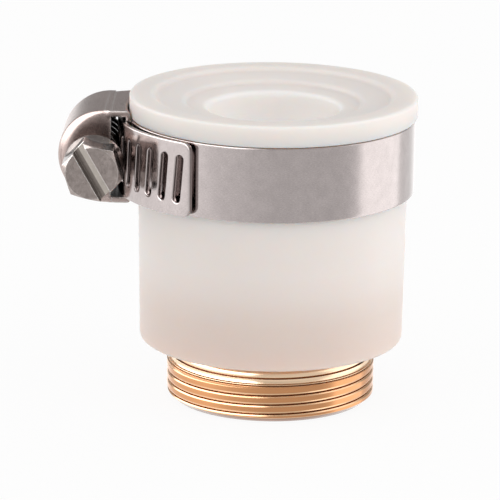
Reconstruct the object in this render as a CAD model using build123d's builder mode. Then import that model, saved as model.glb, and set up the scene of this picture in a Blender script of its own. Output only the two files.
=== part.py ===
import os
from math import asin, cos, degrees, radians, sin, sqrt

from build123d import *

os.makedirs("parts", exist_ok=True)

# Frame: mm, +Z up along the water way, origin on the axis at the nipple's foot.
# The clamp's screw housing stands on -X and its screw runs along Y with the head to -Y.

# Nipple, turned brass, M22x1 outside (the fine thread is shown as its crest cylinder)
thread_d = 22.0
thread_pitch = 1.0
bore_d = 17.0
foot_chamfer = 0.6
thread_top = 4.0
neck_d = thread_d - 1.3 * thread_pitch
collar_d = 24.6
collar_h = 4.6
collar_chamfer = 0.5

# Sleeve, soft moulded silicone
total_h = 32.7
sleeve_foot = 6.4
sleeve_d = 28.5
sleeve_draft = 0.35
flange_d = 30.2
flange_t = 2.25
flange_break = 0.3
foot_round = 0.45
lip_t = 1.5
chamber_d = 22.0
mouth_d = 13.8
grip_slope = 1.5
rim_inner_d = 24.9
step_d = 18.6
rim_drop = 0.45
step_drop = 0.4
step_slope = 0.3
insert_gap = 0.02

# Band, one strip of stainless sheet
band_w = 7.8
band_t = 0.55
loop_gap = 0.05
flange_gap = 0.1
layer_gap = 0.04
tail_lift = 0.35
tail_round = 0.9
slot_l = 5.1
slot_w = 0.95
slot_end = 0.28
slot_lean = 5.5
slots_out = 7
slots_back = 7
slot_shift = 0.67
tail_past_slot = 1.25

# Screw housing, one stamped sheet
sheet_t = 0.6
base_t = 0.45
side_gap = 0.4
flange_clear = 0.15
dome_rise = 4.05
rim_front = 3.8
rim_back = 6.0
base_front = 3.8
fold_r = 1.1
wall_gap = 0.56
button_d = 1.5
button_head_d = 2.3
button_head_t = 0.2
button_spread = 2.2

# Worm screw
worm_pitch = 2.0
worm_root_d = 4.0
worm_depth = 0.6
crest_w = 0.4
root_w = 0.75
root_gap = 0.06
neck_gap = 0.05
end_play = 0.1
journal_d = 2.8
neck_screw_d = 3.3
shank_d = 4.2
head_af = 5.5
head_face = 11.0
head_h = 4.0
head_collar_h = 0.6
head_cone = 0.65
head_chamfer = 0.45
drive_w = 1.4
drive_depth = 1.5
drive_angle = 119.5
hex_angle = 46.8

# Derived sizes
thread_r = thread_d / 2
neck_r = neck_d / 2
bore_r = bore_d / 2
collar_r = collar_d / 2
collar_z = sleeve_foot + lip_t
collar_top = collar_z + collar_h
sleeve_r = sleeve_d / 2
flange_r = flange_d / 2
flange_z = total_h - flange_t
chamber_r = chamber_d / 2
mouth_r = mouth_d / 2
mouth_z = total_h - rim_drop - 2 * step_slope - step_drop

loop_r = sleeve_r + loop_gap
band_top = flange_z - flange_gap
band_z = band_top - band_w
band_mid = band_z + band_w / 2
# the housing's base clears the flange, and the band's fixed end lies under it
base_r = max(flange_r + flange_clear, loop_r + band_t + layer_gap)
fixed_r = base_r - layer_gap - band_t
tail_r = base_r + base_t + layer_gap
tail_end_r = loop_r + band_t + tail_lift
wall_edge = tail_r + band_t + wall_gap

screw_u = tail_r + band_t + root_gap + worm_root_d / 2
crest_r = worm_root_d / 2 + worm_depth
leg_in = band_w / 2 + side_gap
leg_out = leg_in + sheet_t
dome_out = screw_u + dome_rise
dome_u = dome_out - leg_out
button_y = (rim_back - rim_front) / 2
button_seat = sqrt(fixed_r**2 - (button_y + button_head_d / 2) ** 2) - layer_gap

housing_plane = Plane(origin=(0, 0, band_mid), x_dir=(-1, 0, 0), z_dir=(0, 1, 0))

# Sleeve: one profile turned about Z, thick behind the band so that the clamp presses it onto the spout
with BuildPart() as sleeve:
    with BuildSketch(Plane.XZ):
        with BuildLine():
            Polyline(
                (neck_r + insert_gap, sleeve_foot),
                (sleeve_r - sleeve_draft, sleeve_foot),
                (sleeve_r, flange_z),
                (flange_r, flange_z),
                (flange_r, total_h),
                (rim_inner_d / 2, total_h),
                (rim_inner_d / 2 - 0.15, total_h - rim_drop),
                (step_d / 2, total_h - rim_drop - step_slope),
                (step_d / 2 - 0.12, total_h - rim_drop - step_slope - step_drop),
                (mouth_r, mouth_z),
                (mouth_r, band_z),
                (chamber_r, band_z - grip_slope),
                (chamber_r, collar_top),
                (collar_r + insert_gap, collar_top),
                (collar_r + insert_gap, collar_z),
                (neck_r + insert_gap, collar_z),
                close=True,
            )
        make_face()
    revolve(axis=Axis.Z)
    rims = sleeve.edges().filter_by(GeomType.CIRCLE)
    chamfer(rims.filter_by(lambda e: abs(e.radius - flange_r) < 0.01), flange_break)
    feet = sleeve.edges().filter_by(GeomType.CIRCLE)
    fillet(feet.filter_by(lambda e: abs(e.radius - sleeve_r + sleeve_draft) < 0.01), foot_round)

# Nipple: one profile turned about Z
with BuildPart() as thread_nipple:
    with BuildSketch(Plane.XZ):
        with BuildLine():
            Polyline(
                (bore_r, 0),
                (thread_r - foot_chamfer, 0),
                (thread_r, foot_chamfer),
                (thread_r, thread_top),
                (neck_r, thread_top + (thread_r - neck_r) * 0.7),
                (neck_r, collar_z),
                (collar_r, collar_z),
                (collar_r, collar_top - collar_chamfer),
                (collar_r - collar_chamfer, collar_top),
                (bore_r, collar_top),
                close=True,
            )
        make_face()
    revolve(axis=Axis.Z)
    mouths = thread_nipple.edges().filter_by(GeomType.CIRCLE)
    chamfer(mouths.filter_by(lambda e: abs(e.radius - bore_r) < 0.01), 0.3)

# Band: polar course of the strip's inner face, as (start, end, radius at start, radius at end) in degrees
base_back_deg = degrees(asin(rim_back / base_r)) + 1.5
base_front_deg = degrees(asin(base_front / base_r)) - 1.0
# the tail's length is set by its last slot, measured round the housing
tail_turn = degrees((slot_shift + slots_out * worm_pitch + tail_past_slot) / (tail_r - 0.15))
course = [
    (180 - base_back_deg, 180 + base_front_deg, fixed_r, fixed_r),
    (180 + base_front_deg, 232, fixed_r, loop_r),
    (232, 478, loop_r, loop_r),
    (478, 540 - base_back_deg, loop_r, tail_r),
    (540 - base_back_deg, 540 + base_front_deg - 1, tail_r, tail_r),
    (540 + base_front_deg - 1, 540 + tail_turn, tail_r, tail_end_r),
]


def course_point(deg, out):
    # point on the strip at a polar angle, moved outwards along its own normal
    for a0, a1, r0, r1 in course:
        if deg <= a1 + 1e-6:
            x = min(max((deg - a0) / (a1 - a0), 0), 1)
            r = r0 + (r1 - r0) * x * x * (3 - 2 * x)
            slope = (r1 - r0) * 6 * x * (1 - x) / radians(a1 - a0)
            break
    t = radians(deg)
    n = sqrt(r * r + slope * slope)
    nr, nt = r / n, -slope / n
    return Vector(
        r * cos(t) + out * (nr * cos(t) - nt * sin(t)),
        r * sin(t) + out * (nr * sin(t) + nt * cos(t)),
    )


def course_line(out):
    # one line of the strip's outline: arcs where the radius holds, splines where it changes
    for a0, a1, r0, r1 in course:
        if abs(r0 - r1) < 1e-6:
            CenterArc((0, 0), r0 + out, a0, a1 - a0)
        else:
            stops = [course_point(a0 + (a1 - a0) * i / 8, out) for i in range(9)]
            ends = [(-sin(radians(a)), cos(radians(a))) for a in (a0, a1)]
            Spline(*stops, tangents=ends)


first_deg, last_deg = course[0][0], course[-1][1]

# where each slot's middle comes, walking along the strip from the housing's middle in both ways
slot_deg = []
walk = [(540.0, 0.0)]
for way in (1, -1):
    deg, run = 540.0, 0.0
    while abs(run) < (slots_back + 1) * worm_pitch and deg + 0.25 < last_deg:
        a = course_point(deg, band_t / 2)
        b = course_point(deg + way * 0.25, band_t / 2)
        deg, run = deg + way * 0.25, run + way * (b - a).length
        walk.append((deg, run))
for k in range(-slots_back, slots_out + 1):
    want = slot_shift + k * worm_pitch
    near = min(walk, key=lambda p: abs(p[1] - want))
    slot_deg.append(near[0] + degrees((want - near[1]) / tail_r))

with BuildPart() as clamp_band:
    with BuildSketch(Plane.XY.offset(band_z)):
        with BuildLine():
            course_line(0)
            Line(course_point(last_deg, 0), course_point(last_deg, band_t))
            course_line(band_t)
            Line(course_point(first_deg, 0), course_point(first_deg, band_t))
        make_face()
    extrude(amount=band_w)
    tip = course_point(last_deg, band_t / 2)
    corners = clamp_band.edges().filter_by(
        lambda e: e.length < band_t * 1.05 and (e.center() - Vector(tip.X, tip.Y, e.center().Z)).length < 0.05
    )
    fillet(corners, tail_round)
    # the slots lean with the worm's thread
    for deg in slot_deg:
        mid, ahead = course_point(deg, band_t + 0.1), course_point(deg + 0.05, band_t + 0.1)
        along = (ahead - mid).normalized()
        out = Vector(along.Y, -along.X, 0)
        with BuildSketch(Plane(origin=Vector(mid.X, mid.Y, band_mid), x_dir=along, z_dir=out)) as slot:
            Rectangle(slot_l, slot_w, rotation=90 - slot_lean)
            chamfer(slot.vertices(), slot_end)
        extrude(amount=-(band_t + 0.18), mode=Mode.SUBTRACT)
    # two round holes in the fixed end for the housing's clinch buttons
    with BuildSketch(Plane(origin=(-fixed_r + 0.4, button_y, band_mid), x_dir=(0, -1, 0), z_dir=(-1, 0, 0))):
        with Locations((0, button_spread), (0, -button_spread)):
            Circle(button_d / 2 + layer_gap)
    extrude(amount=0.4 + band_t + layer_gap * 0.6, mode=Mode.SUBTRACT)

# Screw housing: one pressed sheet, with end walls folded in from the dome, two legs and a curved base
dome_plane = Plane(origin=(-dome_u, 0, band_mid), x_dir=(0, -1, 0), z_dir=(-1, 0, 0))
dome_axis = Axis((-dome_u, 0, band_mid), (0, -1, 0))
with BuildPart() as screw_housing:
    # the sheet's section along the screw: dome wall with both ends folded towards the screw
    with BuildSketch(dome_plane) as shell_section:
        with BuildLine():
            Polyline(
                (-rim_back, 0),
                (-rim_back, leg_out),
                (rim_front, leg_out),
                (rim_front, 0),
                (rim_front - sheet_t, 0),
                (rim_front - sheet_t, leg_in),
                (-rim_back + sheet_t, leg_in),
                (-rim_back + sheet_t, 0),
                close=True,
            )
        make_face()
        fillet(shell_section.vertices().group_by(Axis.Y)[-1], fold_r)
        fillet(shell_section.vertices().filter_by(lambda v: abs(v.Y - leg_in) < 0.001), fold_r - sheet_t)
    revolve(axis=dome_axis, revolution_arc=180)
    extrude(shell_section.sketch, amount=-(dome_u - wall_edge))
    mirror(about=Plane.XY.offset(band_mid))
    # legs from the dome to the base, flush with the front wall and slanting out at the back
    with BuildSketch(Plane.XY.offset(band_mid + leg_in)):
        with BuildLine():
            Polyline(
                (-base_r / 2, rim_back),
                (-tail_r, rim_back),
                (-wall_edge, rim_back - fold_r / 2),
                (-wall_edge - sheet_t, rim_back - fold_r),
                (-wall_edge - sheet_t, -rim_front + fold_r),
                (-wall_edge, -rim_front + fold_r / 4),
                (-tail_r, -base_front),
                (-base_r / 2, -base_front),
                close=True,
            )
        make_face()
        Circle(base_r, mode=Mode.SUBTRACT)
    extrude(amount=sheet_t)
    mirror(about=Plane.XY.offset(band_mid))
    with BuildSketch(Plane.XY.offset(band_mid - leg_out)):
        Circle(base_r + base_t)
        Circle(base_r, mode=Mode.SUBTRACT)
        with Locations((-base_r, (rim_back - base_front) / 2)):
            Rectangle(base_r, base_front + rim_back, mode=Mode.INTERSECT)
    extrude(amount=2 * leg_out)
    # the sheet's corners where legs and base meet are bent round
    bends = screw_housing.edges().filter_by(GeomType.CIRCLE).filter_by(
        lambda e: abs(e.radius - base_r) < 0.01 and abs(abs(e.center().Z - band_mid) - leg_out) < 0.01
    )
    fillet(bends, base_t * 0.9)
    # bearings for the screw in both end walls, open towards the band
    for start, round_r in ((-rim_front - 1, neck_screw_d / 2), (rim_back - sheet_t - 1, journal_d / 2)):
        with BuildSketch(housing_plane.offset(start)):
            with Locations((screw_u, 0)):
                Circle(round_r + neck_gap)
            with Locations(((screw_u + wall_edge - 1) / 2, 0)):
                Rectangle(screw_u - wall_edge + 1, 1.88 * (round_r + neck_gap))
        extrude(amount=sheet_t + 2, mode=Mode.SUBTRACT)
    # clinch buttons through the band's fixed end
    with BuildSketch(Plane(origin=(-base_r - base_t * 0.6, button_y, band_mid), x_dir=(0, -1, 0), z_dir=(1, 0, 0))):
        with Locations((0, button_spread), (0, -button_spread)):
            Circle(button_d / 2)
    extrude(amount=base_t * 0.6 + base_r - button_seat + button_head_t / 2)
    with BuildSketch(Plane(origin=(-button_seat, button_y, band_mid), x_dir=(0, -1, 0), z_dir=(1, 0, 0))):
        with Locations((0, button_spread), (0, -button_spread)):
            Circle(button_head_d / 2)
    extrude(amount=button_head_t)

# Worm screw, built upright on its own axis: local Z towards the head, local X towards the band
worm_back = rim_back - sheet_t - end_play
worm_front = rim_front - sheet_t - end_play
shank_start = rim_front + end_play
head_start = head_face - head_h
with BuildPart() as screw_upright:
    turns = slot_shift - 5 * worm_pitch
    with BuildLine():
        course_helix = Helix(worm_pitch, 9 * worm_pitch, worm_root_d / 2, center=(0, 0, turns))
    with BuildSketch(Plane(origin=course_helix @ 0, x_dir=(1, 0, 0), z_dir=course_helix % 0)):
        with BuildLine():
            Polyline(
                (-0.25, -root_w / 2 - 0.1),
                (0, -root_w / 2),
                (worm_depth, -crest_w / 2),
                (worm_depth, crest_w / 2),
                (0, root_w / 2),
                (-0.25, root_w / 2 + 0.1),
                close=True,
            )
        make_face()
    sweep(path=course_helix, is_frenet=True)
    with Locations((0, 0, (worm_front - worm_back) / 2)):
        Cylinder(crest_r + 0.2, worm_front + worm_back, mode=Mode.INTERSECT)
    with BuildSketch(Plane.XZ):
        with BuildLine():
            Polyline(
                (0, -rim_back - 0.6),
                (journal_d / 2 - 0.2, -rim_back - 0.6),
                (journal_d / 2, -rim_back - 0.4),
                (journal_d / 2, -worm_back),
                (worm_root_d / 2, -worm_back),
                (worm_root_d / 2, worm_front),
                (neck_screw_d / 2, worm_front),
                (neck_screw_d / 2, shank_start),
                (shank_d / 2, shank_start),
                (shank_d / 2, head_start),
                (head_af / sqrt(3), head_start),
                (head_af / sqrt(3), head_start + head_collar_h * 0.6),
                (head_af / 2, head_start + head_collar_h + head_cone),
                (0, head_start + head_collar_h + head_cone),
                close=True,
            )
        make_face()
    revolve(axis=Axis.Z)
    # hexagon head with its corners turned off at the face
    with BuildPart(mode=Mode.PRIVATE) as hex_head:
        with BuildSketch(Plane.XY.offset(head_start + head_collar_h)):
            RegularPolygon(head_af / sqrt(3), 6, rotation=hex_angle)
        extrude(amount=head_h - head_collar_h)
        with BuildSketch(Plane.XZ):
            with BuildLine():
                Polyline(
                    (0, head_start),
                    (head_af / sqrt(3) + 0.01, head_start),
                    (head_af / sqrt(3) + 0.01, head_face - head_chamfer * 0.9),
                    (head_af / 2 - 0.05, head_face),
                    (0, head_face),
                    close=True,
                )
            make_face()
        revolve(axis=Axis.Z, mode=Mode.INTERSECT)
    add(hex_head.part)
    with BuildSketch(Plane.XY.offset(head_face)):
        Rectangle(3 * head_af, drive_w, rotation=drive_angle)
    extrude(amount=-drive_depth, mode=Mode.SUBTRACT)

screw_plane = Plane(origin=(-screw_u, 0, band_mid), x_dir=(1, 0, 0), z_dir=(0, -1, 0))
with BuildPart(screw_plane) as worm_screw:
    add(screw_upright.part)

for name, built in (
    ("sleeve", sleeve),
    ("thread_nipple", thread_nipple),
    ("clamp_band", clamp_band),
    ("screw_housing", screw_housing),
    ("worm_screw", worm_screw),
):
    built.part.label = name
    export_step(built.part, f"parts/{name}.step")
    box = built.part.bounding_box()
    print(name, "solids", len(built.part.solids()), "valid", built.part.is_valid, "volume", round(built.part.volume, 2))
    print("  box", [round(v, 2) for v in (*box.min, *box.max)])
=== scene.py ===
import bmesh
import bpy
import numpy as np
from mathutils import Matrix, Vector


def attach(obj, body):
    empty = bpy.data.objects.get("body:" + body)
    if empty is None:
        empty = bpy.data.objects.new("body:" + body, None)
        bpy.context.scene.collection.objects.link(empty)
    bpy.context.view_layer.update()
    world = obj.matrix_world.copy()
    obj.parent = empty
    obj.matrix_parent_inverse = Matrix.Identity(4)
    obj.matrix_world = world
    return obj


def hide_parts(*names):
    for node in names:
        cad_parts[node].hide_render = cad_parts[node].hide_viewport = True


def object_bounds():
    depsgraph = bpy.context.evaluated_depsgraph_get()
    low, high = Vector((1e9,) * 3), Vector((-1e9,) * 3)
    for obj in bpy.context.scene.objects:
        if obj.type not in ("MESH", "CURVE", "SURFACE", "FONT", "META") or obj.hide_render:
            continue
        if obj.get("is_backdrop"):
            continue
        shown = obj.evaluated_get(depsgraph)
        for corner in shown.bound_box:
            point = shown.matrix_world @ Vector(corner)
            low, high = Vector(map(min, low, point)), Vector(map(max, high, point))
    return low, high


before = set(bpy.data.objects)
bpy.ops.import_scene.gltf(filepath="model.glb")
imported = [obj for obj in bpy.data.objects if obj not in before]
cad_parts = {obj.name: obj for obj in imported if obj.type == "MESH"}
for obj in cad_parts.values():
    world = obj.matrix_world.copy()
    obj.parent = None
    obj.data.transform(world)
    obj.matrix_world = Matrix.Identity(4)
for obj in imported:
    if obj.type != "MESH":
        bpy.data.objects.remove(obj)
cadLow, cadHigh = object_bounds()
scene = bpy.context.scene
mm = 0.001
print("frame loaded:", ", ".join(sorted(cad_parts)))


# mesh helpers

def sheet(points, uv=None, wrapU=False, wrapV=False):
    # quads over a grid of points [rows, columns, xyz]; wrap joins the last row or column to the first
    rows, cols = points.shape[:2]
    index = np.arange(rows * cols).reshape(rows, cols)
    index = np.concatenate([index, index[:1]], 0) if wrapU else index
    index = np.concatenate([index, index[:, :1]], 1) if wrapV else index
    quads = np.stack([index[:-1, :-1], index[1:, :-1], index[1:, 1:], index[:-1, 1:]], -1).reshape(-1, 4)
    uv = np.zeros((rows, cols, 2)) if uv is None else uv
    return points.reshape(-1, 3), quads, uv.reshape(-1, 2)


def wall(outer, inner, uv=None):
    # a closed wall: two matching sheets with strips between their four edges
    pairs = [(outer[0], inner[0]), (outer[-1], inner[-1])]
    pairs += [(outer[:, 0], inner[:, 0]), (outer[:, -1], inner[:, -1])]
    return [sheet(outer, uv), sheet(inner, uv)] + [sheet(np.stack(pair)) for pair in pairs]


def roundCorners(corners, radii, steps):
    # closed polyline with each corner cut back by its radius and bridged by a quadratic curve
    corners = np.array(corners, float)
    before, after = np.roll(corners, 1, 0), np.roll(corners, -1, 0)
    radii = np.array(radii, float)[:, None]
    lead = corners + (before - corners) / np.linalg.norm(before - corners, axis=1, keepdims=True) * radii
    tail = corners + (after - corners) / np.linalg.norm(after - corners, axis=1, keepdims=True) * radii
    t = np.linspace(0, 1, steps)[None, :, None]
    curve = (1 - t) ** 2 * lead[:, None] + 2 * t * (1 - t) * corners[:, None] + t ** 2 * tail[:, None]
    flat = curve.reshape(-1, 2)
    step = np.linalg.norm(flat - np.roll(flat, 1, 0), axis=1)
    return flat[step > 1e-6]


def turned(profile, columns):
    # a closed profile of (radius, height) turned once round Z
    angle = np.linspace(0, 2 * np.pi, columns, endpoint=False)[:, None]
    r, z = profile[:, 0][None], profile[:, 1][None]
    return np.stack([r * np.cos(angle), r * np.sin(angle), z + 0 * angle], -1)


weld = {"merge": 3e-7, "collapse": 1e-8}  # distances in metres


def makePiece(name, sheets, node, body, material, sharpDeg):
    # joins the sheets, merges their shared edges, turns faces outwards and hangs the piece on its body
    counts = np.cumsum([0] + [len(s[0]) for s in sheets[:-1]])
    points = np.concatenate([s[0] for s in sheets]) * mm
    faces = np.concatenate([s[1] + n for s, n in zip(sheets, counts)])
    uv = np.concatenate([s[2] for s in sheets])
    mesh = bpy.data.meshes.new(name)
    mesh.from_pydata(points.tolist(), [], faces.tolist())
    layer = mesh.uv_layers.new(name="surface")
    layer.data.foreach_set("uv", uv[faces.ravel()].ravel())
    bm = bmesh.new()
    bm.from_mesh(mesh)
    bmesh.ops.remove_doubles(bm, verts=bm.verts, dist=weld["merge"])
    bmesh.ops.dissolve_degenerate(bm, dist=weld["collapse"], edges=bm.edges)
    bmesh.ops.recalc_face_normals(bm, faces=bm.faces)
    openEdges = sum(1 for e in bm.edges if len(e.link_faces) != 2)
    bm.to_mesh(mesh)
    bm.free()
    mesh.polygons.foreach_set("use_smooth", [True] * len(mesh.polygons))
    mesh.set_sharp_from_angle(angle=np.radians(sharpDeg))
    mesh.materials.append(material)
    piece = bpy.data.objects.new(name, mesh)
    scene.collection.objects.link(piece)
    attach(piece, body)
    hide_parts(node)
    print(name, "faces", len(mesh.polygons), "open edges", openEdges)


# shader helpers

def grey(value):
    return (value,) * 3


def newGroup(name, inputs, outputs):
    tree = bpy.data.node_groups.new(name, "ShaderNodeTree")
    for label, kind, value in inputs:
        socket = tree.interface.new_socket(label, in_out="INPUT", socket_type=kind)
        if value is not None:
            socket.default_value = value
    for label, kind in outputs:
        tree.interface.new_socket(label, in_out="OUTPUT", socket_type=kind)
    return tree, tree.nodes.new("NodeGroupInput"), tree.nodes.new("NodeGroupOutput")


def addNode(tree, kind, links=None, **settings):
    # a node with its settings, and its inputs linked or set by name or place
    node = tree.nodes.new(kind)
    for key, value in settings.items():
        setattr(node, key, value)
    for key, value in (links or {}).items():
        if isinstance(value, bpy.types.NodeSocket):
            tree.links.new(value, node.inputs[key])
        else:
            node.inputs[key].default_value = value
    return node


def mathNode(tree, operation, a, b=0.0, clamp=False):
    return addNode(tree, "ShaderNodeMath", {0: a, 1: b}, operation=operation, use_clamp=clamp).outputs[0]


def vectorNode(tree, operation, a, b=(0, 0, 0)):
    node = addNode(tree, "ShaderNodeVectorMath", {0: a, 1: b}, operation=operation)
    return node.outputs["Value" if operation in ("DOT_PRODUCT", "LENGTH") else "Vector"]


def mapRange(tree, value, low, high, last=1.0):
    # 0 at low, changing to last at high
    return addNode(tree, "ShaderNodeMapRange", {0: value, 1: low, 2: high, 3: 0.0, 4: last}).outputs[0]


def noiseNode(tree, vector, scale, detail, rough=0.5):
    links = {"Vector": vector, "Scale": scale, "Detail": detail, "Roughness": rough}
    return addNode(tree, "ShaderNodeTexNoise", links).outputs[0]


def mixColor(tree, factor, a, b, blend="MIX"):
    links = {0: factor, 6: a, 7: b}
    return addNode(tree, "ShaderNodeMix", links, data_type="RGBA", blend_type=blend).outputs[2]


def rampNode(tree, factor, stops):
    node = addNode(tree, "ShaderNodeValToRGB", {0: factor})
    ramp = node.color_ramp
    while len(ramp.elements) < len(stops):
        ramp.elements.new(0.5)
    for element, (place, color) in zip(ramp.elements, stops):
        element.position = place
        element.color = (*color, 1)
    return node.outputs[0]


noiseMiddle = (0.3, 0.7)  # where most of a noise's values lie


def spanRamp(tree, factor, span, low, high):
    return rampNode(tree, factor, [(span[0], low), (span[1], high)])


def heightRadius(tree, place):
    # a place's height and its distance from the Z axis
    split = addNode(tree, "ShaderNodeSeparateXYZ", {0: place})
    flat = addNode(tree, "ShaderNodeCombineXYZ", {0: split.outputs[0], 1: split.outputs[1]})
    return split.outputs[2], vectorNode(tree, "LENGTH", flat.outputs[0])


def newMaterial(name, settings):
    material = bpy.data.materials.new(name)
    material.use_nodes = True
    tree = material.node_tree
    shader = tree.nodes["Principled BSDF"]
    for key, value in settings.items():
        shader.inputs[key].default_value = value
    return material, tree, shader


# streaks: noise drawn out along one direction, for brushed sheet and turned skins
streaks = {"detail": 5.0, "rough": 0.65, "fineScale": 4.3, "fineDetail": 3.0, "fineRough": 0.6}
streakTree, streakIn, streakOut = newGroup(
    "streaks",
    [
        ("Vector", "NodeSocketVector", None), ("Scale", "NodeSocketVector", (1, 1, 1)),
        ("Contrast", "NodeSocketFloat", 1.0),
    ],
    [("Value", "NodeSocketFloat"), ("Fine", "NodeSocketFloat")],
)
streakPlace = vectorNode(streakTree, "MULTIPLY", streakIn.outputs[0], streakIn.outputs[1])
streakNoise = noiseNode(streakTree, streakPlace, 1.0, streaks["detail"], streaks["rough"])
streakCentre = mathNode(streakTree, "SUBTRACT", streakNoise, 0.5)
streakGain = mathNode(streakTree, "MULTIPLY", streakCentre, streakIn.outputs[2])
streakFinePlace = addNode(
    streakTree, "ShaderNodeVectorMath", {0: streakPlace, "Scale": streaks["fineScale"]}, operation="SCALE",
).outputs[0]
streakFine = noiseNode(streakTree, streakFinePlace, 1.0, streaks["fineDetail"], streaks["fineRough"])
streakTree.links.new(mathNode(streakTree, "ADD", streakGain, 0.5, True), streakOut.inputs[0])
streakTree.links.new(streakFine, streakOut.inputs[1])

# worn edges and painted edge highlights: a mask where a rounded normal departs from the face's own normal,
# broken up by noise
wearAndGlint = {"samples": 6, "scale": 1400.0, "detail": 3.0, "gain": 0.8, "base": 0.5}
edgeTree, edgeIn, edgeOut = newGroup(
    "worn edges",
    [
        ("Radius", "NodeSocketFloat", 0.0001), ("Gain", "NodeSocketFloat", 3.0),
        ("Vector", "NodeSocketVector", None),
    ],
    [("Mask", "NodeSocketFloat"), ("Normal", "NodeSocketVector")],
)
edgeBevel = addNode(edgeTree, "ShaderNodeBevel", {"Radius": edgeIn.outputs[0]}, samples=wearAndGlint["samples"])
edgeFace = addNode(edgeTree, "ShaderNodeNewGeometry")
edgeDot = vectorNode(edgeTree, "DOT_PRODUCT", edgeBevel.outputs[0], edgeFace.outputs["Normal"])
edgeLoss = mathNode(edgeTree, "SUBTRACT", 1.0, edgeDot)
edgeNoise = noiseNode(edgeTree, edgeIn.outputs[2], wearAndGlint["scale"], wearAndGlint["detail"])
edgeBreak = mathNode(edgeTree, "ADD", mathNode(edgeTree, "MULTIPLY", edgeNoise, wearAndGlint["gain"]), wearAndGlint["base"])
edgeStrength = mathNode(edgeTree, "MULTIPLY", edgeLoss, edgeIn.outputs[1])
edgeTree.links.new(mathNode(edgeTree, "MULTIPLY", edgeStrength, edgeBreak, True), edgeOut.inputs[0])
edgeTree.links.new(edgeBevel.outputs[0], edgeOut.inputs[1])


def linkGroup(tree, group, links):
    return addNode(tree, "ShaderNodeGroup", links, node_tree=group)


def roughFrom(tree, shader, value, low, high):
    # roughness from low to high over the middle of a noise
    tree.links.new(spanRamp(tree, value, noiseMiddle, grey(low), grey(high)), shader.inputs["Roughness"])


# silicone: milky skin, warm where the brass collar lies behind the wall; the mouth is painted lighter and
# given a painted glow for daylight through the wall
siliconeLook = {
    "clear": (0.800, 0.752, 0.722), "tinted": (0.750, 0.625, 0.567), "boreLight": (0.87, 0.845, 0.825),
    "boreFrom": 7.6, "boreTo": 7.0,  # radii between which the mouth's painted lighter tone sets in
    "glow": (0.245, 0.25, 0.25), "glowTop": 31.0, "glowFoot": 27.0,  # painted glow standing in for daylight through the wall
    "tintTop": 16.4, "tintFoot": 6.4,
    "tintShare": [  # from foot to top
        (0.0, 1.0), (0.15, 0.95), (0.45, 0.82), (0.65, 0.5), (0.77, 0.25), (1.0, 0.0),
    ],
    "mottle": 0.035, "cloudScale": 160.0, "cloudDetail": 3.0, "grainScale": 1500.0, "grainDetail": 4.0,
    "rough": (0.38, 0.48), "bump": 0.12, "bumpHeight": 0.00004,
}
siliconeMat, tree, shader = newMaterial("milky silicone", {
    "Roughness": 0.42, "Subsurface Weight": 1.0, "Subsurface Scale": 0.003,
    "Subsurface Radius": (1.0, 0.75, 0.6), "Specular IOR Level": 0.4, "Emission Strength": 1.0,
})
place = addNode(tree, "ShaderNodeTexCoord").outputs["Object"]
height, radius = heightRadius(tree, place)
tintHeight = mapRange(tree, height, siliconeLook["tintFoot"] * mm, siliconeLook["tintTop"] * mm)
tint = rampNode(tree, tintHeight, [(at, grey(value)) for at, value in siliconeLook["tintShare"]])
cloud = noiseNode(tree, place, siliconeLook["cloudScale"], siliconeLook["cloudDetail"])
grain = noiseNode(tree, place, siliconeLook["grainScale"], siliconeLook["grainDetail"])
skin = mixColor(tree, tint, (*siliconeLook["clear"], 1), (*siliconeLook["tinted"], 1))
# painted light: the mouth's bore is lightened, and made to glow where daylight would come through the wall
inBore = mapRange(tree, radius, siliconeLook["boreFrom"] * mm, siliconeLook["boreTo"] * mm)
skin = mixColor(tree, inBore, skin, (*siliconeLook["boreLight"], 1))
deep = mapRange(tree, height, siliconeLook["glowTop"] * mm, siliconeLook["glowFoot"] * mm)
lit = mathNode(tree, "MULTIPLY", inBore, deep)
tree.links.new(mixColor(tree, lit, (0, 0, 0, 1), (*siliconeLook["glow"], 1)), shader.inputs["Emission Color"])
mottle = mixColor(tree, cloud, (*grey(1 - siliconeLook["mottle"]), 1), (1, 1, 1, 1))
tree.links.new(mixColor(tree, 1.0, skin, mottle, "MULTIPLY"), shader.inputs["Base Color"])
roughFrom(tree, shader, cloud, *siliconeLook["rough"])
tree.links.new(addNode(tree, "ShaderNodeBump", {
    "Strength": siliconeLook["bump"], "Distance": siliconeLook["bumpHeight"], "Height": grain,
}).outputs[0], shader.inputs["Normal"])
print("material:", siliconeMat.name)

# brass: turned, with fine rings; its tone goes by radius, so crests, bevels and grooves differ, with painted
# shade in the grooves, painted highlight lines on the crests' bevels, a painted lighter neck and a painted
# dark foot
brassLook = {
    # the neck colour is painted light, the valley colour painted groove shade, the line colour a painted
    # highlight on the crest bevels and the foot colour painted shade; crest is the brass's own tone
    "neck": (0.96, 0.70, 0.48), "valleyShade": (0.44, 0.22, 0.11), "line": (0.82, 0.54, 0.33),
    "crest": (0.63, 0.30, 0.135), "foot": (0.20, 0.095, 0.05), "edge": (0.96, 0.80, 0.52),
    "radii": (10.2, 11.0),  # between which the tones below are placed
    "thread": [
        (0.0, "valleyShade"), (0.12, "valleyShade"), (0.17, "neck"), (0.25, "neck"), (0.45, "valleyShade"), (0.72, "valleyShade"),
        (0.86, "line"), (0.975, "line"), (0.998, "crest"),
    ],
    "plain": [(0.1, "valleyShade"), (0.17, "neck")],
    "plainFrom": (4.04, 4.07), "footFrom": (0.62, 0.45),  # heights at which these set in
    "ringScale": (9000, 1, 9000), "ringContrast": 1.4, "ringShade": 0.86, "ringSpan": (0.2, 0.8),
    "edgeRadius": 0.00005, "edgeGain": 1.2, "rough": (0.13, 0.22), "bump": 0.1, "bumpHeight": 0.00003,
}
brassMat, tree, shader = newMaterial("turned brass", {"Metallic": 1.0, "Roughness": 0.3})
place = addNode(tree, "ShaderNodeTexCoord").outputs["Object"]
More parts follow.
